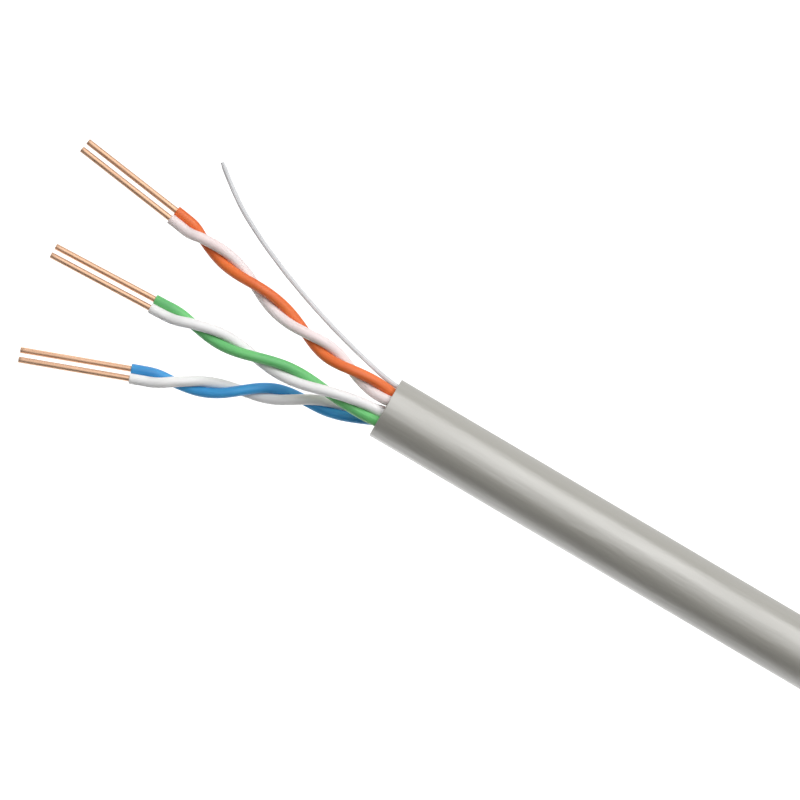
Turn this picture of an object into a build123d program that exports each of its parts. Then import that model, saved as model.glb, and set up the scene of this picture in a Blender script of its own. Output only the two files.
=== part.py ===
"""Stripped end of a small round telephone and data cable, built wire by wire.

X runs along the jacket, away from the stripped end. Y runs across it and Z is up.
The origin is the middle of the jacket's mouth. All sizes are in millimetres.
"""

import math
import os

from build123d import *

os.makedirs("parts", exist_ok=True)

# Wires
insulation_od = 0.86
conductor_od = 0.5
conductor_clearance = 0.025
bare_length = 9.0
insulated_run = 1.4

# Twisted pairs
pair_gap = 0.03
bends_per_turn = 6
orange_lay = 10.6
green_lay = 11.8
blue_lay = 10.4
end_turn = 1.93

# Jacket
jacket_wall = 0.45
jacket_length = 70.0
bundle_gap = 0.05
bore_gap = 0.074

# Places of the pairs around the cable's axis, in degrees from +Y towards +Z
orange_angle = 40.0
green_angle = 137.0
blue_angle = 234.0

# Ripcord
ripcord_od = 0.4
ripcord_bore_gap = 0.04
ripcord_pivot_x = -0.5
ripcord_pivot_gap = 0.03

# Where the pairs and the cord lie
rest_gap = 0.05
cord_rest_gap = 0.02
cut_overrun = 1.0
fillet_share = 0.49

# Sizes that follow from the ones above
pair_radius = (insulation_od + pair_gap) / 2
pair_envelope = pair_radius + insulation_od / 2
nearest_pairs = math.radians(min(green_angle - orange_angle, blue_angle - green_angle))
pair_ring = (pair_envelope + bundle_gap / 2) / math.sin(nearest_pairs / 2)
jacket_bore = 2 * (pair_ring + pair_envelope + bore_gap)
jacket_od = jacket_bore + 2 * jacket_wall
floor_z = -jacket_od / 2
pair_rest_z = floor_z + pair_envelope + rest_gap
tip_rest_z = floor_z + conductor_od / 2 - pair_radius * math.sin(2 * math.pi * end_turn)
cord_rest_z = floor_z + ripcord_od / 2 + cord_rest_gap
ripcord_ring = jacket_bore / 2 - ripcord_bore_gap - ripcord_od / 2
back_plane = Plane.YZ.offset(jacket_length)

# The ripcord lies against the orange pair, on the side away from the green one
cord_to_pair = pair_envelope + bundle_gap + ripcord_od / 2
cord_swing = math.acos(
    (pair_ring**2 + ripcord_ring**2 - cord_to_pair**2) / (2 * pair_ring * ripcord_ring)
)
ripcord_angle = orange_angle - math.degrees(cord_swing)


def on_ring(radius, degrees):
    """Y and Z of a point on a circle around the cable's axis."""
    angle = math.radians(degrees)
    return radius * math.cos(angle), radius * math.sin(angle)


orange_y, orange_z = on_ring(pair_ring, orange_angle)
green_y, green_z = on_ring(pair_ring, green_angle)
blue_y, blue_z = on_ring(pair_ring, blue_angle)
cord_y, cord_z = on_ring(ripcord_ring, ripcord_angle)

# Middle line of each pair, from the mouth to its last twist
orange_line = [
    (0.0, orange_y, orange_z),
    (-1.6, orange_y + 0.06, orange_z - 0.04),
    (-3.8, orange_y + 0.28, orange_z - 0.22),
    (-8.5, 1.86, 0.05),
    (-11.4, 2.50, -0.35),
    (-14.1, 3.20, -0.76),
    (-17.5, 3.87, -1.28),
    (-21.0, 4.50, pair_rest_z),
]
green_line = [
    (0.0, green_y, green_z),
    (-2.2, green_y - 0.16, green_z + 0.02),
    (-4.7, green_y - 0.36, green_z - 0.02),
    (-7.8, -1.53, green_z - 0.11),
    (-10.8, -1.80, 0.58),
    (-16.5, -2.03, 0.28),
    (-18.8, -2.22, 0.12),
]
blue_line = [
    (0.0, blue_y, blue_z),
    (-1.8, blue_y - 0.83, blue_z - 0.37),
    (-3.4, blue_y - 1.40, pair_rest_z + 0.07),
    (-5.6, -2.64, pair_rest_z),
    (-7.5, -3.25, pair_rest_z),
    (-10.1, -4.41, pair_rest_z),
    (-12.7, -5.67, pair_rest_z),
    (-15.3, -6.72, pair_rest_z),
    (-17.6, -7.50, pair_rest_z),
]

# Straight ends: degrees from -X towards +Y, and the height of the pair's middle at the tips
orange_end = (7.6, tip_rest_z)
green_end = (-2.4, -0.55)
blue_end = (-20.8, tip_rest_z)

# Turns made by the coloured wire, a quarter being on top, against the place along X
orange_twist = [(0.0, -1.17), (0.25, -3.82), (0.75, -8.53), (1.25, -13.99), (1.75, -19.36)]
green_twist = [(0.5, -0.9), (0.75, -4.7), (1.25, -10.98), (1.75, -16.6)]
blue_twist = [(0.46, 0.0), (0.52, -3.2), (0.75, -5.96), (1.25, -10.6), (1.75, -15.6)]

ripcord_line = [
    (ripcord_pivot_x, cord_y, cord_z),
    (-3.0, 2.40, -0.75),
    (-6.1, 3.16, -1.80),
    (-10.0, 4.35, cord_rest_z),
    (-14.05, 5.91, cord_rest_z),
    (-17.3, 7.49, cord_rest_z),
    (-19.3, 8.79, cord_rest_z),
    (-21.2, 10.3, cord_rest_z),
]


def middle_at(line, x):
    """Y, Z and their slopes at x on a smooth curve through the line's points."""
    if x >= line[0][0]:
        return line[0][1], line[0][2], 0.0, 0.0
    last = len(line) - 1
    spot = 0
    while spot < last - 1 and x < line[spot + 1][0]:
        spot += 1
    start, end = line[spot], line[spot + 1]
    span = end[0] - start[0]
    share = (x - start[0]) / span
    found = []
    for axis in (1, 2):
        slopes = []
        for knot in (spot, spot + 1):
            before, after = line[max(knot - 1, 0)], line[min(knot + 1, last)]
            slope = (after[axis] - before[axis]) / (after[0] - before[0])
            slopes.append(0.0 if knot == 0 else slope)
        low, high = start[axis], end[axis]
        cubic = 2 * (low - high) + span * (slopes[0] + slopes[1])
        square = 3 * (high - low) - span * (2 * slopes[0] + slopes[1])
        value = ((cubic * share + square) * share + span * slopes[0]) * share + low
        slope = (3 * cubic * share + 2 * square) * share / span + slopes[0]
        found.append((value, slope))
    return found[0][0], found[1][0], found[0][1], found[1][1]


def strand_point(line, x, turn, radius):
    """Point beside the pair's middle line at x, turned around it."""
    y, z, slope_y, slope_z = middle_at(line, x)
    along = Vector(-1, -slope_y, -slope_z).normalized()
    side = Vector(-slope_y, 1, 0).normalized()
    up = side.cross(along)
    angle = 2 * math.pi * turn
    return Vector(x, y, z) + side * (radius * math.cos(angle)) + up * (radius * math.sin(angle))


def place_of_turn(twist, lay, turn):
    """Place along X where the pair has made this many turns."""
    if turn <= twist[0][0]:
        return twist[0][1] + (twist[0][0] - turn) * lay
    for (turn_a, x_a), (turn_b, x_b) in zip(twist, twist[1:]):
        if turn <= turn_b:
            return x_a + (x_b - x_a) * (turn - turn_a) / (turn_b - turn_a)
    return twist[-1][1]


def straight_end(line, end):
    """Run of a pair's straight end, from its last twist to its tips."""
    degrees, tip_z = end
    drop = tip_z - line[-1][2]
    level = math.sqrt((insulated_run + bare_length) ** 2 - drop**2)
    heading = math.radians(degrees)
    return Vector(-level * math.cos(heading), level * math.sin(heading), drop)


def strand_corners(line, twist, lay, half_turn):
    """Corners of one wire's path, from behind the back face to its last twist."""
    twist = twist + [(end_turn, line[-1][0])]
    step = 1 / bends_per_turn
    outer = pair_radius / math.cos(math.pi * step)
    corners = [strand_point(line, line[-1][0], end_turn + half_turn, pair_radius)]
    turn = end_turn - step / 2
    x = place_of_turn(twist, lay, turn)
    while x < jacket_length + cut_overrun:
        corners.append(strand_point(line, x, turn + half_turn, outer))
        turn -= step
        x = place_of_turn(twist, lay, turn)
    corners.append(strand_point(line, x, turn + half_turn, outer))
    corners.reverse()
    return corners


def corner_radii(corners):
    """Largest bend radii that keep a short straight run between bends."""
    radii = []
    for before, corner, after in zip(corners, corners[1:], corners[2:]):
        one, two = corner - before, after - corner
        half_bend = math.radians(one.get_angle(two)) / 2
        radii.append(fillet_share * min(one.length, two.length) / math.tan(half_bend))
    return radii


def rounded_path(corners):
    """Path of straight runs joined by tangent arcs."""
    with BuildLine() as path:
        FilletPolyline(*corners, radius=corner_radii(corners))
    return path.line


def tube_along(corners, outer, inner):
    """Round wire or tube along the corners, cut flush with the jacket's back face."""
    path = rounded_path(corners)
    with BuildPart() as tube:
        with BuildSketch(Plane(origin=path @ 0, z_dir=path % 0)):
            Circle(outer)
            if inner:
                Circle(inner, mode=Mode.SUBTRACT)
        sweep(path=path)
        split(bisect_by=back_plane, keep=Keep.BOTTOM)
    return tube.part


def build_wire(name, corners, run):
    """Write one wire's insulation, up to the strip line, and its conductor, up to its tip."""
    strip = corners[-1] + run.normalized() * insulated_run
    insulation_bore = conductor_od / 2 + conductor_clearance
    insulation = tube_along(corners + [strip], insulation_od / 2, insulation_bore)
    insulation.label = f"insulation_{name}"
    export_step(insulation, f"parts/insulation_{name}.step")
    conductor = tube_along(corners + [corners[-1] + run], conductor_od / 2, None)
    conductor.label = f"conductor_{name}"
    export_step(conductor, f"parts/conductor_{name}.step")


for colour, line, twist, lay, end in (
    ("orange", orange_line, orange_twist, orange_lay, orange_end),
    ("green", green_line, green_twist, green_lay, green_end),
    ("blue", blue_line, blue_twist, blue_lay, blue_end),
):
    run = straight_end(line, end)
    build_wire(colour, strand_corners(line, twist, lay, 0.0), run)
    build_wire(f"{colour}_mate", strand_corners(line, twist, lay, 0.5), run)

# Jacket: a plain round tube, cut square at both ends
with BuildPart() as jacket:
    with BuildSketch(Plane.YZ):
        Circle(jacket_od / 2)
        Circle(jacket_bore / 2, mode=Mode.SUBTRACT)
    extrude(amount=jacket_length)
jacket.part.label = "jacket"
export_step(jacket.part, "parts/jacket.step")

# Ripcord: the length in the jacket, then the free end that folds just outside the mouth
fixed_end_x = ripcord_pivot_x + ripcord_od / 2 + ripcord_pivot_gap
with BuildPart() as ripcord_in_jacket:
    with BuildSketch(Plane.YZ.offset(fixed_end_x)):
        with Locations((cord_y, cord_z)):
            Circle(ripcord_od / 2)
    extrude(amount=jacket_length - fixed_end_x)
ripcord_in_jacket.part.label = "ripcord_in_jacket"
export_step(ripcord_in_jacket.part, "parts/ripcord_in_jacket.step")

cord_corners = [Vector(*point) for point in ripcord_line]
cord_path = rounded_path(cord_corners)
print("ripcord bend radii", [round(radius, 1) for radius in corner_radii(cord_corners)])
with BuildPart() as ripcord_free:
    with BuildSketch(Plane(origin=cord_path @ 0, z_dir=cord_path % 0)):
        Circle(ripcord_od / 2)
    sweep(path=cord_path)
    with Locations(cord_corners[0]):
        Sphere(ripcord_od / 2)
ripcord_free.part.label = "ripcord_free"
export_step(ripcord_free.part, "parts/ripcord_free.step")

print("jacket outside", round(jacket_od, 3), "bore", round(jacket_bore, 3))
cord_length = sum(edge.length for edge in cord_path.edges())
print("floor", round(floor_z, 3), "free cord length", round(cord_length, 2))
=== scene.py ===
"""Looks of a stripped three-pair telephone cable end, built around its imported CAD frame."""

import math

import bpy
import numpy as np
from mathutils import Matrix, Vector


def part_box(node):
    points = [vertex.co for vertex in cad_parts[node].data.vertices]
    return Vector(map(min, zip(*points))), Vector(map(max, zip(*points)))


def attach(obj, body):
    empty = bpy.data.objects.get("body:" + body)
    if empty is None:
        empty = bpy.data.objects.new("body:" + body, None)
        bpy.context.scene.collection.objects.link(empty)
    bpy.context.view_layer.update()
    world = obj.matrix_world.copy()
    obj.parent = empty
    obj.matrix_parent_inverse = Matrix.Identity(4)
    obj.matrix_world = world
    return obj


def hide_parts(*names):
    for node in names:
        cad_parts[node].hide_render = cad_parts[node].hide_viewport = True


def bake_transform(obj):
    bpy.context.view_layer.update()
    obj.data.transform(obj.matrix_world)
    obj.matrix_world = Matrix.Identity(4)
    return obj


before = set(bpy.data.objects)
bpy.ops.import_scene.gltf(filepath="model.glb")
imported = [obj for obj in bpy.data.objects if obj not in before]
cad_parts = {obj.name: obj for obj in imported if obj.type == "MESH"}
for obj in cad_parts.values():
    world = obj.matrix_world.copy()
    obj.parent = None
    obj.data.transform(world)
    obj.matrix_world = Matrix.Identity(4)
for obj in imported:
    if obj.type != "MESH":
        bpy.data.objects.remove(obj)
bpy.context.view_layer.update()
MM = 0.001

# Sizes in millimetres. The jacket's radius and the floor are read from the frame, and the
# rest are part.py's, apart from TOUCHING_RADIUS: part.py winds the wires at PAIR_RADIUS,
# a little apart, and here the two wires of a pair all but touch.
INSULATION_RADIUS = 0.43
INSULATION_BORE_RADIUS = 0.275
CONDUCTOR_RADIUS = 0.25
PAIR_RADIUS = 0.445
TOUCHING_RADIUS = 0.431
INSULATED_RUN = 1.4
BARE_LENGTH = 9.0
END_TURN = 1.93
JACKET_LENGTH = 70.0
JACKET_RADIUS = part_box("jacket")[1].z / MM
JACKET_WALL = 0.45
JACKET_BORE_RADIUS = JACKET_RADIUS - JACKET_WALL
RIPCORD_RADIUS = 0.2

# Heights of what lies on the floor: middle lines of the pairs, the bare tips and the ripcord
FLOOR_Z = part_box("jacket")[0].z / MM
PAIR_REST_GAP = 0.05
PAIR_REST_Z = FLOOR_Z + (PAIR_RADIUS + INSULATION_RADIUS + PAIR_REST_GAP)
TIP_REST_Z = FLOOR_Z + CONDUCTOR_RADIUS - PAIR_RADIUS * math.sin(2 * math.pi * END_TURN)
CORD_REST_GAP = 0.02
CORD_REST_Z = FLOOR_Z + RIPCORD_RADIUS + CORD_REST_GAP

# Places of the pairs and the ripcord across the jacket, and of the ripcord's hinge along it
PAIR_RING = 1.20168


def on_ring(degrees):
    """Y and Z of a pair's middle line inside the jacket."""
    angle = math.radians(degrees)
    return PAIR_RING * math.cos(angle), PAIR_RING * math.sin(angle)


ORANGE_Y, ORANGE_Z = on_ring(40.0)
GREEN_Y, GREEN_Z = on_ring(137.0)
BLUE_Y, BLUE_Z = on_ring(234.0)
CORD_Y = 1.898403
CORD_Z = 0.216185
PIVOT_X = -0.5


# ---------------------------------------------------------------- camera

# Metres up, the point below and the width of the view in millimetres, and degrees turned
CAMERA_HEIGHT = 2.0
CAMERA_OVER = (0.700, 1.116)
CAMERA_FIELD = 63.8
CAMERA_TURN = 30.5


def make_camera():
    """Straight down on the stripped end, with the cable running to the lower right."""
    data = bpy.data.cameras.new("camera")
    data.type = "PERSP"
    data.sensor_width = 36.0
    data.lens = data.sensor_width * CAMERA_HEIGHT / (CAMERA_FIELD * MM)
    data.clip_start, data.clip_end = 0.1, 20.0
    camera = bpy.data.objects.new("camera", data)
    camera.location = (CAMERA_OVER[0] * MM, CAMERA_OVER[1] * MM, CAMERA_HEIGHT)
    camera.rotation_euler = (0.0, 0.0, math.radians(CAMERA_TURN))
    bpy.context.scene.collection.objects.link(camera)
    bpy.context.scene.camera = camera


# ---------------------------------------------------------------- routes

ORANGE_ROUTE = [
    (JACKET_LENGTH, ORANGE_Y, ORANGE_Z),
    (1.6, ORANGE_Y, ORANGE_Z),
    (0.0, ORANGE_Y, ORANGE_Z),
    (-1.6, ORANGE_Y + 0.06, ORANGE_Z - 0.04),
    (-3.8, ORANGE_Y + 0.28, ORANGE_Z - 0.22),
    (-8.5, 1.86, 0.05),
    (-11.4, 2.50, -0.35),
    (-14.1, 3.20, -0.76),
    (-17.5, 3.87, -1.28),
    (-21.0, 4.50, PAIR_REST_Z),
]
GREEN_ROUTE = [
    (JACKET_LENGTH, GREEN_Y, GREEN_Z),
    (2.2, GREEN_Y, GREEN_Z),
    (0.0, GREEN_Y, GREEN_Z),
    (-2.2, GREEN_Y - 0.16, GREEN_Z + 0.02),
    (-4.7, GREEN_Y - 0.36, GREEN_Z - 0.02),
    (-7.8, -1.53, GREEN_Z - 0.11),
    (-10.8, -1.80, 0.58),
    (-16.5, -2.03, 0.28),
    (-18.8, -2.22, 0.12),
]
BLUE_ROUTE = [
    (JACKET_LENGTH, BLUE_Y, BLUE_Z),
    (0.4, BLUE_Y, BLUE_Z),
    (0.0, BLUE_Y, BLUE_Z),
    (-1.8, BLUE_Y - 0.83, BLUE_Z - 0.37),
    (-3.4, BLUE_Y - 1.40, PAIR_REST_Z + 0.07),
    (-5.6, -2.64, PAIR_REST_Z),
    (-7.5, -3.25, PAIR_REST_Z),
    (-10.1, -4.41, PAIR_REST_Z),
    (-12.7, -5.67, PAIR_REST_Z),
    (-15.3, -6.72, PAIR_REST_Z),
    (-17.6, -7.50, PAIR_REST_Z),
]
RIPCORD_ROUTE = [
    (JACKET_LENGTH, CORD_Y, CORD_Z),
    (2.0, CORD_Y, CORD_Z),
    (PIVOT_X, CORD_Y, CORD_Z),
    (-3.0, 2.40, -0.75),
    (-6.1, 3.16, -1.80),
    (-10.0, 4.35, CORD_REST_Z),
    (-14.05, 5.91, CORD_REST_Z),
    (-17.3, 7.49, CORD_REST_Z),
    (-19.3, 8.79, CORD_REST_Z),
    (-21.2, 10.3, CORD_REST_Z),
]
JACKET_ROUTE = [(0.0, 0.0, 0.0), (35.0, 0.0, 0.0), (JACKET_LENGTH, 0.0, 0.0)]

# For each pair: its route, its twist as (turns made by the coloured wire, X) keys, millimetres
# a turn inside the jacket, and its straight end's heading in degrees and Z at the tips
PAIRS = {
    "orange": (
        ORANGE_ROUTE,
        [(0.0, -1.17), (0.25, -3.82), (0.75, -8.53), (1.25, -13.99), (1.75, -19.36)],
        10.6,
        (7.6, TIP_REST_Z),
    ),
    "green": (
        GREEN_ROUTE,
        [(0.5, -0.9), (0.75, -4.7), (1.25, -10.98), (1.75, -16.6)],
        11.8,
        (-2.4, -0.55),
    ),
    "blue": (
        BLUE_ROUTE,
        [(0.46, 0.0), (0.52, -3.2), (0.75, -5.96), (1.25, -10.6), (1.75, -15.6)],
        10.4,
        (-20.8, TIP_REST_Z),
    ),
}


def smooth_line(points):
    """Points down a NURBS spline whose control points are the route's, all in metres."""
    data = bpy.data.curves.new("route", "CURVE")
    data.dimensions = "3D"
    spline = data.splines.new("NURBS")
    spline.points.add(len(points) - 1)
    for spot, point in zip(spline.points, points):
        spot.co = (point[0] * MM, point[1] * MM, point[2] * MM, 1.0)
    spline.order_u = 3
    spline.use_endpoint_u = True
    spline.resolution_u = 48
    route = bpy.data.objects.new("route", data)
    mesh = bpy.data.meshes.new_from_object(route)
    line = np.array([v.co for v in mesh.vertices], float).reshape(-1, 3)
    bpy.data.meshes.remove(mesh)
    bpy.data.curves.remove(data)
    return line


def with_straight_end(route, end):
    """The route, and its straight bare end from the last twist to the tips."""
    degrees, tip_z = end
    last = np.array(route[-1])
    long = INSULATED_RUN + BARE_LENGTH
    drop = tip_z - last[2]
    level = math.sqrt(long**2 - drop**2)
    heading = math.radians(degrees)
    run = np.array([-level * math.cos(heading), level * math.sin(heading), drop])
    strip = last + run * (INSULATED_RUN / long)
    return list(route) + [tuple(strip), tuple(last + run)]


def turns_at(keys, lay, x):
    """Turns made at each x: smooth through the keys, even inside the jacket, still at the end."""
    first_turn, first_x = keys[0]
    inner = first_turn - (JACKET_LENGTH - first_x) / lay
    knots = np.array([JACKET_LENGTH] + [k[1] for k in keys])
    turns = np.array([inner] + [k[0] for k in keys])
    slopes = np.zeros(len(knots))
    slopes[0] = -1.0 / lay
    slopes[1:-1] = (turns[2:] - turns[:-2]) / (knots[2:] - knots[:-2])
    found = np.full(len(x), turns[-1])
    for i in range(len(knots) - 1):
        span = knots[i + 1] - knots[i]
        inside = (x <= knots[i]) & (x >= knots[i + 1])
        t = (x[inside] - knots[i]) / span
        found[inside] = (
            (2 * t**3 - 3 * t**2 + 1) * turns[i]
            + (t**3 - 2 * t**2 + t) * span * slopes[i]
            + (3 * t**2 - 2 * t**3) * turns[i + 1]
            + (t**3 - t**2) * span * slopes[i + 1]
        )
    return found


def unit(v):
    return v / np.linalg.norm(v, axis=-1, keepdims=True)


# Spacing of a wire's points along X inside the jacket, outside it, and at least before the tip
INNER_STEP, OUTER_STEP, LAST_STEP = 0.25, 0.09, 0.05


def strand_line(pair, half_turn):
    """Centre line, in metres, of one wire wound around its pair's smooth middle line.

    half_turn is 0 for the coloured wire and half a turn for its mate.
    """
    route, keys, lay, end = PAIRS[pair]
    line = smooth_line(with_straight_end(route, end)) / MM
    order = np.argsort(line[:, 0])
    tip_x = line[:, 0].min()
    inner = np.arange(JACKET_LENGTH, 0.0, -INNER_STEP)
    outer = np.arange(0.0, tip_x, -OUTER_STEP)
    x = np.concatenate([inner, outer])
    x = np.append(x[x > tip_x + LAST_STEP], tip_x)
    y = np.interp(x, line[order, 0], line[order, 1])
    z = np.interp(x, line[order, 0], line[order, 2])
    slope_y, slope_z = np.gradient(y, x), np.gradient(z, x)
    along = unit(np.stack([-np.ones(len(x)), -slope_y, -slope_z], axis=1))
    side = unit(np.stack([-slope_y, np.ones(len(x)), np.zeros(len(x))], axis=1))
    up = np.cross(side, along)
    keys = keys + [(END_TURN, route[-1][0])]
    angle = 2 * math.pi * (turns_at(keys, lay, x) + half_turn)
    middle = np.stack([x, y, z], axis=1)
    offset = side * np.cos(angle)[:, None] + up * np.sin(angle)[:, None]
    return (middle + TOUCHING_RADIUS * offset) * MM


# ---------------------------------------------------------------- meshes

# How many sides each round section has, and how many rings the jacket has along it
JACKET_SIDES = 160
JACKET_RINGS = 190
INSULATION_SIDES = 36
CONDUCTOR_SIDES = 24
RIPCORD_SIDES = 54
HAIR_SIDES = 6


def carried_frames(line):
    """The line's direction at each point, and two across it, carried without twisting."""
    ahead = unit(np.gradient(line, axis=0))
    one = np.zeros_like(ahead)
    start = np.array([0.0, 0.0, 1.0])
    for i, t in enumerate(ahead):
        start = start - t * (start @ t)
        start = start / np.linalg.norm(start)
        one[i] = start
    return ahead, one, np.cross(ahead, one)


def distances_along(line):
    """Each point's distance from the line's start."""
    return np.concatenate([[0.0], np.cumsum(np.linalg.norm(np.diff(line, axis=0), axis=1))])


def stations_of(line, lengths):
    """Centre, direction and frames at the given distances along a line."""
    along = distances_along(line)
    ahead, one, two = carried_frames(line)

    def pick(values):
        return np.stack([np.interp(lengths, along, values[:, k]) for k in range(3)], axis=1)

    return pick(line), unit(pick(ahead)), unit(pick(one)), unit(pick(two))


def length_of(line):
    return float(np.linalg.norm(np.diff(line, axis=0), axis=1).sum())


def new_piece(name, vertices, faces, strand, materials, face_materials=None, sharp=35.0):
    """A mesh object, with each vertex's place on the unbent strand kept as an attribute."""
    mesh = bpy.data.meshes.new(name)
    mesh.from_pydata([tuple(v) for v in vertices], [], faces)
    attribute = mesh.attributes.new("strand", "FLOAT_VECTOR", "POINT")
    attribute.data.foreach_set("vector", np.asarray(strand, np.float32).ravel())
    for material in materials:
        mesh.materials.append(material)
    if face_materials is not None:
        mesh.polygons.foreach_set("material_index", np.asarray(face_materials, np.int32))
    mesh.polygons.foreach_set("use_smooth", np.ones(len(mesh.polygons), bool))
    mesh.update()
    mesh.validate()
    mesh.set_sharp_from_angle(angle=math.radians(sharp))
    piece = bpy.data.objects.new(name, mesh)
    bpy.context.scene.collection.objects.link(piece)
    return piece


def cut_flush(ring, ahead, plane, at_start):
    """A ring slid along its direction to an X plane, or only as far as not to cross it."""
    over = (plane - ring[:, 0]) / ahead[0]
    if not at_start:
        over = np.minimum(over, 0.0) if ahead[0] > 0 else np.maximum(over, 0.0)
    return ring + ahead * over[:, None]


def ring_faces(count, sides, closed):
    """Faces from ring to ring, and then from the last to the first, or a cap on each."""
    faces = []
    for i in range(count if closed else count - 1):
        a, b = i * sides, ((i + 1) % count) * sides
        for j in range(sides):
            k = (j + 1) % sides
            faces.append((a + j, a + k, b + k, b + j))
    if not closed:
        faces.append(tuple(reversed(range(sides))))
        faces.append(tuple((count - 1) * sides + j for j in range(sides)))
    return faces


def swept(line, lengths, radii, sides, closed, flat_start=None, ripple=None):
    """Rings of a round section along a line: closed for a tube with a bore, else capped.

    lengths and radii give each ring's distance along the line and its radius.
    flat_start is the X plane that the rings at distance 0 are cut flush with.
    ripple(length, around, radius) gives what is added to a ring's radius around it.
    """
    centres, ahead, one, two = stations_of(line, np.asarray(lengths, float))
    around = 2 * math.pi * np.arange(sides) / sides
    vertices, strand = [], []
    for i, radius in enumerate(radii):
        reach = np.full(sides, radius)
        if ripple is not None:
            reach = reach + ripple(lengths[i], around, radius)
        across = np.stack([reach * np.cos(around), reach * np.sin(around)], axis=1)
        ring = centres[i] + one[i] * across[:, :1] + two[i] * across[:, 1:]
        if flat_start is not None:
            ring = cut_flush(ring, ahead[i], flat_start, lengths[i] < 1e-9)
        vertices.append(ring)
        strand.append(np.column_stack([across / MM, np.full(sides, lengths[i] / MM)]))
    faces = ring_faces(len(radii), sides, closed)
    return np.concatenate(vertices), faces, np.concatenate(strand)


# Where a softened edge has its middle ring, as a share of the softening
EDGE_BEND = 0.3


def softened_end(at, inner, outer, soften, towards):
    """(length, radius) rings around a cut end, from the outer surface to the bore."""
    back = at - towards * soften
    return [
        (back, outer),
        (at - towards * soften * EDGE_BEND, outer - soften * EDGE_BEND),
        (at, outer - soften),
        (at, inner + soften),
        (at - towards * soften * EDGE_BEND, inner + soften * EDGE_BEND),
        (back, inner),
    ]


# How far the jacket's outside swells and sinks, in millimetres, and the waves it does that in:
# share of the swell, lobes around, radians a millimetre along, and angle at the mouth
JACKET_SWELL = 0.018
JACKET_WAVES = [
    (0.34, 3, 0.11, 0.4),
    (0.26, 5, -0.19, 1.9),
    (0.20, 2, 0.43, 0.0),
    (0.20, 7, 0.31, 0.7),
]


def make_jacket(pvc, cut):
    """The outer jacket: a tube with slow unevenness on its outside, and square cut ends."""
    line = np.array([[x * MM, 0.0, 0.0] for x in np.linspace(0.0, JACKET_LENGTH, 57)])
    low, high = 0.0, JACKET_LENGTH * MM
    margin, soften, flush = 0.1 * MM, 0.05 * MM, 0.006 * MM
    swell = JACKET_SWELL * MM
    outer, inner = JACKET_RADIUS * MM - swell, JACKET_BORE_RADIUS * MM
    body = np.linspace(low + margin, high - margin, JACKET_RINGS)
    rings = [(s, outer) for s in body]
    rings += softened_end(high, inner, outer, soften, 1.0)
    rings += [(s, inner) for s in body[::-6]]
    rings += softened_end(low, inner, outer, soften, -1.0)[::-1]

    def uneven(length, around, radius):
        """Waves on the outside alone, which leave the bent edges and the bore round."""
        if radius < outer * 0.995:
            return 0.0 * around
        s = length / MM
        waves = [
            share * np.sin(lobes * around + s * pace + start)
            for share, lobes, pace, start in JACKET_WAVES
        ]
        return swell * 0.95 * sum(waves)

    vertices, faces, strand = swept(
        line, [r[0] for r in rings], [r[1] for r in rings], JACKET_SIDES, True, ripple=uneven
    )
    vertices[:, 0] = np.clip(vertices[:, 0], low, high)
    centre_x = np.array([vertices[list(f), 0].mean() for f in faces])
    on_cut = (centre_x < low + flush) | (centre_x > high - flush)
    piece = new_piece("jacket_tube", vertices, faces, strand, [pvc, cut], on_cut.astype(int))
    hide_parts("jacket")
    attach(piece, "cable")
    smooth_line(JACKET_ROUTE).tolist()


def make_insulation(name, line, colour, cut):
    """One wire's insulation, from the back cut to the strip line."""
    full = length_of(line)
    end = full - BARE_LENGTH * MM
    outer, inner = INSULATION_RADIUS * MM, INSULATION_BORE_RADIUS * MM
    first, margin, spacing, soften = 0.25 * MM, 0.06 * MM, 0.16 * MM, 0.03 * MM
    body = np.arange(first, end - margin, spacing)
    rings = [(0.0, outer)] + [(s, outer) for s in body]
    rings += softened_end(end, inner, outer, soften, 1.0)
    rings += [(s, inner) for s in body[::-8]] + [(0.0, inner)]
    vertices, faces, strand = swept(
        line,
        [r[0] for r in rings],
        [r[1] for r in rings],
        INSULATION_SIDES,
        True,
        flat_start=JACKET_LENGTH * MM,
    )
    # The cuts lie between the softened end's third and fourth ring, and the last and the first
    face_ring = np.repeat(np.arange(len(rings)), INSULATION_SIDES)
    end_ring = len(body) + 3
    on_cut = (face_ring == end_ring) | (face_ring == len(rings) - 1)
    piece = new_piece(
        f"insulation_{name}_tube", vertices, faces, strand, [colour, cut], on_cut.astype(int)
    )
    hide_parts(f"insulation_{name}")
    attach(piece, "cable")


def make_conductor(name, line, copper, tip_copper):
    """One wire's solid copper conductor, from the back cut to its sheared tip."""
    full = length_of(line)
    radius = CONDUCTOR_RADIUS * MM
    first, margin, spacing, soften = 0.4 * MM, 0.1 * MM, 0.3 * MM, 0.035 * MM
    body = np.arange(first, full - margin, spacing)
    rings = [(0.0, radius)] + [(s, radius) for s in body]
    rings += [
        (full - soften, radius),
        (full - soften * EDGE_BEND, radius - soften * EDGE_BEND),
        (full, radius - soften),
    ]
    vertices, faces, strand = swept(
        line,
        [r[0] for r in rings],
        [r[1] for r in rings],
        CONDUCTOR_SIDES,
        False,
        flat_start=JACKET_LENGTH * MM,
    )
    on_cut = np.zeros(len(faces), int)
    on_cut[-2:] = 1
    piece = new_piece(
        f"conductor_{name}_wire", vertices, faces, strand, [copper, tip_copper], on_cut
    )
    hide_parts(f"conductor_{name}")
    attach(piece, "cable")


def joined(parts):
    """Vertices, faces and strand coordinates of several parts as one."""
    vertices, faces, strand, count = [], [], [], 0
    for v, f, s in parts:
        vertices.append(v)
        faces += [tuple(i + count for i in face) for face in f]
        strand.append(s)
        count += len(v)
    return np.concatenate(vertices), faces, np.concatenate(strand)


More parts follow.
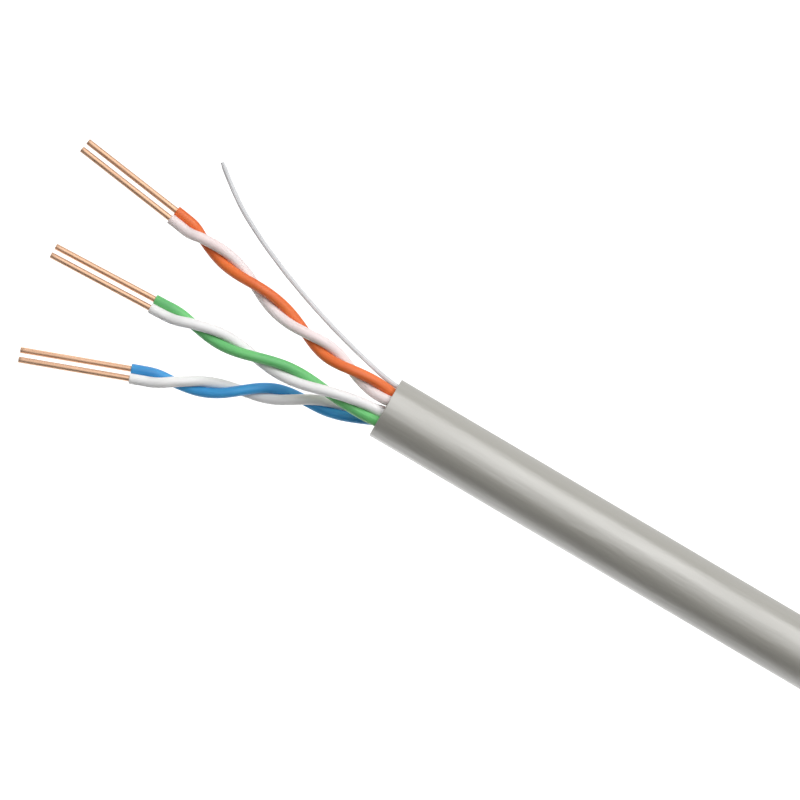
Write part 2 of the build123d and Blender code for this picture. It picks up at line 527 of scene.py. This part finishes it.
def filaments(length, around, radius):
    """What a ring of the ripcord gains or loses in radius, from its strands and its slack."""
    turn = length / MM * 1.1
    slack = 0.25 * math.sin(length / MM * 0.8) + 0.15 * math.sin(length / MM * 2.3)
    lobes = 0.055 * np.cos(9 * around + turn * 2.0) + 0.02 * np.cos(2 * around - turn)
    return radius * (lobes - 0.05 + 0.03 * slack)


HAIRS = 11


def frayed_hairs(line, full):
    """Fine hairs that stand off the ripcord's last millimetre."""
    hairs = []
    rng = np.random.default_rng(7)
    for _ in range(HAIRS):
        start = full - rng.uniform(0.5, 0.9) * MM
        finish = full - rng.uniform(0.0, 0.22) * MM
        spots = np.linspace(start, finish, 7)
        centre, _, one, two = stations_of(line, spots)
        heading = rng.uniform(0, 2 * math.pi)
        grow = np.linspace(0.25, 1.0, 7)[:, None]
        spread = rng.uniform(0.10, 0.19) * MM * grow
        bow = heading + rng.uniform(-1.0, 1.0) * grow
        hair = centre + spread * (one * np.cos(bow) + two * np.sin(bow))
        lengths = np.linspace(0, length_of(hair), 9)
        radii = np.linspace(0.016, 0.009, 9) * MM
        hairs.append(swept(hair, lengths, radii, HAIR_SIDES, False))
    return hairs


def make_ripcord(fibre):
    """The ripcord: a loosely twisted bundle of fine filaments, a little frayed at the tip."""
    line = smooth_line(RIPCORD_ROUTE)
    line = line[::-1] if line[0][0] < line[-1][0] else line
    full = length_of(line)
    spacing, margin = 0.12 * MM, 0.05 * MM
    lengths = np.append(np.arange(0.0, full - spacing, spacing), full - margin)
    thinning = np.clip((lengths - full + 0.6 * MM) / (0.5 * MM), 0.0, 1.0)
    bundle = swept(
        line,
        lengths,
        RIPCORD_RADIUS * MM * (1.0 - 0.3 * thinning),
        RIPCORD_SIDES,
        False,
        flat_start=JACKET_LENGTH * MM,
        ripple=filaments,
    )
    vertices, faces, strand = joined([bundle] + frayed_hairs(line, full))
    piece = new_piece("ripcord_yarn", vertices, faces, strand, [fibre], sharp=70.0)
    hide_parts("ripcord_in_jacket", "ripcord_free")
    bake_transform(piece)


# ---------------------------------------------------------------- materials

def linear(r, g, b):
    """A linear colour from 0 to 255 display values."""
    def one(c):
        c = c / 255.0
        return c / 12.92 if c <= 0.04045 else ((c + 0.055) / 1.055) ** 2.4
    return (one(r), one(g), one(b), 1.0)


def scaled(colour, factor):
    return tuple(min(1.0, c * factor) for c in colour[:3]) + (1.0,)


def set_stops(node, stops):
    """Gives a colour ramp these (place, colour) stops."""
    elements = node.color_ramp.elements
    while len(elements) < len(stops):
        elements.new(0.5)
    for element, (at, colour) in zip(elements, stops):
        element.position = at
        element.color = colour


def mapped(tree, value, span, levels):
    """A value taken from one span to two levels, which it doesn't go beyond."""
    made = tree.nodes.new("ShaderNodeMapRange")
    names = ("From Min", "From Max", "To Min", "To Max")
    for name, number in zip(names, (*span, *levels)):
        made.inputs[name].default_value = number
    tree.links.new(value, made.inputs["Value"])
    return made.outputs["Result"]


class Recipe:
    """A material under construction, whose textures follow the unbent strand."""

    def __init__(self, name):
        self.material = bpy.data.materials.new(name)
        self.material.use_nodes = True
        self.tree = self.material.node_tree
        self.shader = self.tree.nodes["Principled BSDF"]
        self.where = self.tree.nodes.new("ShaderNodeAttribute")
        self.where.attribute_name = "strand"
        self.height = None

    def noise(self, across, along, detail=3.0, roughness=0.5):
        """Noise with this many features a millimetre across the strand and along it."""
        place = self.tree.nodes.new("ShaderNodeMapping")
        place.inputs["Scale"].default_value = (across, across, along)
        self.tree.links.new(self.where.outputs["Vector"], place.inputs["Vector"])
        made = self.tree.nodes.new("ShaderNodeTexNoise")
        made.inputs["Scale"].default_value = 1.0
        made.inputs["Detail"].default_value = detail
        made.inputs["Roughness"].default_value = roughness
        self.tree.links.new(place.outputs["Vector"], made.inputs["Vector"])
        return made.outputs["Fac"]

    def ramp(self, value, stops):
        made = self.tree.nodes.new("ShaderNodeValToRGB")
        set_stops(made, stops)
        self.tree.links.new(value, made.inputs["Fac"])
        return made.outputs["Color"]

    def spread(self, noise, low, high):
        """The usual range of a noise, spread from low to high."""
        return mapped(self.tree, noise, (0.3, 0.7), (low, high))

    def mixed(self, one, two, share):
        made = self.tree.nodes.new("ShaderNodeMix")
        made.data_type = "RGBA"
        made.inputs["Factor"].default_value = share
        self.tree.links.new(one, made.inputs["A"])
        self.tree.links.new(two, made.inputs["B"])
        return made.outputs["Result"]

    def colour(self, value):
        self.tree.links.new(value, self.shader.inputs["Base Color"])

    def roughness(self, value):
        self.tree.links.new(value, self.shader.inputs["Roughness"])

    def relief(self, value, depth_mm):
        """Adds bump of this depth in millimetres."""
        bump = self.tree.nodes.new("ShaderNodeBump")
        bump.inputs["Strength"].default_value = 1.0
        bump.inputs["Distance"].default_value = depth_mm * MM
        self.tree.links.new(value, bump.inputs["Height"])
        if self.height is not None:
            self.tree.links.new(self.height, bump.inputs["Normal"])
        self.height = bump.outputs["Normal"]
        self.tree.links.new(self.height, self.shader.inputs["Normal"])

    def set(self, **values):
        """Sets the shader's own sockets, named with _ for a space, and gives the material."""
        for name, value in values.items():
            self.shader.inputs[name.replace("_", " ")].default_value = value
        return self.material


def jacket_pvc():
    """Satin grey PVC, with slow clouds, draw streaks and a fine grain."""
    made = Recipe("jacket_pvc")
    base = linear(156, 154, 147)
    clouds = made.noise(0.35, 0.06, 4.0, 0.55)
    streaks = made.noise(2.6, 0.05, 3.0, 0.6)
    grain = made.noise(9.0, 6.0, 2.0)
    tone = made.ramp(clouds, [(0.3, scaled(base, 0.94)), (0.7, scaled(base, 1.05))])
    lines = made.ramp(streaks, [(0.35, scaled(base, 0.95)), (0.65, scaled(base, 1.04))])
    specks = made.ramp(grain, [(0.3, scaled(base, 0.97)), (0.7, scaled(base, 1.02))])
    made.colour(made.mixed(made.mixed(tone, lines, 0.45), specks, 0.25))
    made.roughness(made.spread(made.noise(1.1, 0.1, 4.0), 0.33, 0.45))
    made.relief(streaks, 0.008)
    made.relief(clouds, 0.11)
    made.relief(grain, 0.0012)
    return made.set(IOR=1.53, Specular_IOR_Level=1.0)


def cut_face(name, base):
    """A knife-cut plastic face: matt, with fine parallel drag marks."""
    made = Recipe(name)
    drag = made.noise(5.0, 30.0, 4.0, 0.65)
    made.colour(made.ramp(drag, [(0.3, scaled(base, 0.86)), (0.7, scaled(base, 1.06))]))
    made.roughness(made.spread(drag, 0.5, 0.7))
    made.relief(drag, 0.01)
    return made.material


def insulation(name, deep, light, tint, clear):
    """Extruded polyethylene: smooth, with drawn-out streaks and a slight translucency."""
    made = Recipe(name)
    flow = made.noise(2.4, 0.09, 2.0)
    cloud = made.noise(0.9, 0.35, 3.0)
    body = made.ramp(flow, [(0.25, deep), (0.5, light), (0.8, scaled(light, 1.06))])
    wash = made.ramp(cloud, [(0.3, tint), (0.62, light)])
    made.colour(made.mixed(body, wash, 0.4))
    made.roughness(made.spread(made.noise(3.0, 0.3, 3.0), 0.40, 0.52))
    made.relief(flow, 0.003)
    made.relief(made.noise(5.0, 2.0, 2.0), 0.002)
    return made.set(
        IOR=1.50,
        Specular_IOR_Level=0.3,
        Subsurface_Weight=clear,
        Subsurface_Radius=(1.0, 1.0, 1.0),
        Subsurface_Scale=0.45 * MM,
    )


def copper_wire():
    """Drawn copper: fine lines along the wire, and patches where it has dulled."""
    made = Recipe("copper")
    drawn = made.noise(5.0, 0.12, 2.0)
    age = made.noise(1.2, 0.5, 4.0, 0.6)
    bright, dull = linear(207, 172, 145), linear(182, 145, 118)
    lines = made.ramp(drawn, [(0.3, dull), (0.6, bright)])
    patches = made.ramp(age, [(0.35, scaled(dull, 1.05)), (0.6, bright)])
    made.colour(made.mixed(lines, patches, 0.5))
    made.roughness(made.spread(age, 0.5, 0.62))
    made.relief(drawn, 0.002)
    made.relief(made.noise(2.5, 1.6, 2.0), 0.003)
    return made.set(Metallic=1.0)


def copper_cut():
    """A freshly sheared copper tip."""
    made = Recipe("copper_cut")
    shear = made.noise(9.0, 9.0, 4.0, 0.7)
    made.colour(made.ramp(shear, [(0.3, linear(214, 150, 112)), (0.7, linear(246, 196, 160))]))
    made.roughness(made.spread(shear, 0.3, 0.5))
    made.relief(shear, 0.006)
    return made.set(Metallic=1.0)


def ripcord_fibre():
    """Pale synthetic yarn, streaked along its filaments."""
    made = Recipe("ripcord")
    strands = made.noise(6.0, 0.5, 2.0)
    slub = made.noise(1.5, 0.4, 3.0)
    base = linear(213, 214, 216)
    lines = made.ramp(strands, [(0.3, scaled(base, 0.88)), (0.6, base)])
    soft = made.ramp(slub, [(0.3, scaled(base, 0.86)), (0.7, scaled(base, 1.05))])
    made.colour(made.mixed(lines, soft, 0.4))
    made.roughness(made.spread(strands, 0.55, 0.75))
    made.relief(strands, 0.004)
    return made.set(
        Sheen_Weight=0.25,
        Subsurface_Weight=0.2,
        Subsurface_Radius=(1.0, 1.0, 1.0),
        Subsurface_Scale=0.1 * MM,
    )


# ---------------------------------------------------------------- studio

# Strength of the floor to the camera, and in reflections and as a light, where the pair is
# the level on the -Y side and the one on the +Y side, FLOOR_FADE millimetres from the axis
FLOOR_SEEN = 1.3
FLOOR_SHINE = (2.45, 1.15)
FLOOR_LIGHT = (0.75, 0.50)
FLOOR_FADE = 5.0
FLOOR_HALF = 0.8
FLOOR_GAP = 0.01

# Each soft box: degrees tilted towards +Y, metres across and along the cable, and watts
SOFT_BOXES = {"key": (42.5, 0.60, 0.44, 4.15), "top": (0.0, 0.36, 0.34, 1.0)}
BOX_DISTANCE = 0.6
BOX_X = 0.01

# The room's level by how near a direction is to BRIGHT_SIDE, and the white that the camera sees
BRIGHT_SIDE = (0.0, 0.55, 0.835)
ROOM_LEVELS = [(0.0, 0.02), (0.6, 0.03), (1.0, 0.10)]
BACKDROP = 1.1
WHITE = (1.0, 1.0, 1.0, 1.0)


def floor_glow():
    """An emitter with one level for the camera, one for reflections and one as a light."""
    made = bpy.data.materials.new("floor")
    made.use_nodes = True
    tree = made.node_tree
    tree.nodes.remove(tree.nodes["Principled BSDF"])
    path = tree.nodes.new("ShaderNodeLightPath")
    glow = tree.nodes.new("ShaderNodeEmission")
    glow.inputs["Color"].default_value = WHITE
    place = tree.nodes.new("ShaderNodeTexCoord")
    split = tree.nodes.new("ShaderNodeSeparateXYZ")
    tree.links.new(place.outputs["Object"], split.inputs["Vector"])

    def faded(levels):
        reach = FLOOR_FADE * MM
        return mapped(tree, split.outputs["Y"], (-reach, reach), levels)

    def all_but(kind, level):
        """A mix that has this level for all rays but one kind, whose own goes into B."""
        mix = tree.nodes.new("ShaderNodeMix")
        mix.data_type = "FLOAT"
        tree.links.new(path.outputs[kind], mix.inputs["Factor"])
        tree.links.new(level, mix.inputs["A"])
        return mix

    shine = all_but("Is Glossy Ray", faded(FLOOR_LIGHT))
    tree.links.new(faded(FLOOR_SHINE), shine.inputs["B"])
    seen = all_but("Is Camera Ray", shine.outputs["Result"])
    seen.inputs["B"].default_value = FLOOR_SEEN
    tree.links.new(seen.outputs["Result"], glow.inputs["Strength"])
    tree.links.new(glow.outputs["Emission"], tree.nodes["Material Output"].inputs["Surface"])
    made.cycles.emission_sampling = "NONE"
    return made


def make_floor():
    """The white light table that the cable lies on."""
    half, z = FLOOR_HALF, (FLOOR_Z - FLOOR_GAP) * MM
    mesh = bpy.data.meshes.new("floor")
    mesh.from_pydata(
        [(-half, -half, z), (half, -half, z), (half, half, z), (-half, half, z)],
        [],
        [(0, 1, 2, 3)],
    )
    mesh.materials.append(floor_glow())
    floor = bpy.data.objects.new("floor", mesh)
    bpy.context.scene.collection.objects.link(floor)


def soft_box(name, degrees, width, length, watts):
    """A rectangular soft light over the cable, tilted towards +Y by this angle."""
    tilt = math.radians(degrees)
    data = bpy.data.lights.new(name, "AREA")
    data.shape = "RECTANGLE"
    data.size, data.size_y = length, width
    data.energy = watts
    lamp = bpy.data.objects.new(name, data)
    lamp.location = (BOX_X, BOX_DISTANCE * math.sin(tilt), BOX_DISTANCE * math.cos(tilt))
    lamp.rotation_euler = (-tilt, 0.0, 0.0)
    lamp.visible_camera = False
    bpy.context.scene.collection.objects.link(lamp)


def make_world():
    """A dim room, a little brighter high up on the +Y side, which the camera sees as white."""
    world = bpy.data.worlds.new("studio")
    world.use_nodes = True
    tree = world.node_tree
    room = tree.nodes["Background"]
    where = tree.nodes.new("ShaderNodeTexCoord")
    dot = tree.nodes.new("ShaderNodeVectorMath")
    dot.operation = "DOT_PRODUCT"
    dot.inputs[1].default_value = BRIGHT_SIDE
    tree.links.new(where.outputs["Generated"], dot.inputs[0])
    ramp = tree.nodes.new("ShaderNodeValToRGB")
    set_stops(ramp, [(at, (level, level, level, 1.0)) for at, level in ROOM_LEVELS])
    tree.links.new(dot.outputs["Value"], ramp.inputs["Fac"])
    tree.links.new(ramp.outputs["Color"], room.inputs["Color"])
    backdrop = tree.nodes.new("ShaderNodeBackground")
    backdrop.inputs["Color"].default_value = WHITE
    backdrop.inputs["Strength"].default_value = BACKDROP
    path = tree.nodes.new("ShaderNodeLightPath")
    both = tree.nodes.new("ShaderNodeMixShader")
    tree.links.new(path.outputs["Is Camera Ray"], both.inputs["Fac"])
    tree.links.new(room.outputs["Background"], both.inputs[1])
    tree.links.new(backdrop.outputs["Background"], both.inputs[2])
    tree.links.new(both.outputs["Shader"], tree.nodes["World Output"].inputs["Surface"])
    bpy.context.scene.world = world


# ---------------------------------------------------------------- making

make_camera()
make_jacket(jacket_pvc(), cut_face("jacket_cut", linear(168, 166, 159)))

# Each insulation's deep and light tone, and the tint that clouds it
COLOURS = {
    "orange": (linear(214, 98, 44), linear(228, 116, 58), linear(200, 88, 50)),
    "orange_mate": (linear(239, 214, 213), linear(243, 225, 224), linear(237, 205, 202)),
    "green": (linear(84, 168, 92), linear(112, 194, 118), linear(84, 160, 106)),
    "green_mate": (linear(238, 236, 234), linear(241, 239, 239), linear(234, 237, 232)),
    "blue": (linear(44, 130, 194), linear(70, 162, 220), linear(46, 114, 178)),
    "blue_mate": (linear(240, 239, 238), linear(242, 241, 240), linear(238, 238, 239)),
}
# The coloured wire and its mate: end of the name, start in turns, and subsurface weight
WIRES = [("", 0.0, 0.3), ("_mate", 0.5, 0.8)]
copper, copper_end = copper_wire(), copper_cut()
for pair in PAIRS:
    for suffix, half_turn, clear in WIRES:
        name = pair + suffix
        deep, light, tint = COLOURS[name]
        centre = strand_line(pair, half_turn)
        make_insulation(
            name,
            centre,
            insulation(f"insulation_{name}", deep, light, tint, clear),
            cut_face(f"insulation_cut_{name}", light),
        )
        make_conductor(name, centre, copper, copper_end)
make_ripcord(ripcord_fibre())

make_floor()
for name, facts in SOFT_BOXES.items():
    soft_box(name, *facts)
make_world()
bpy.context.scene.view_settings.view_transform = "Standard"
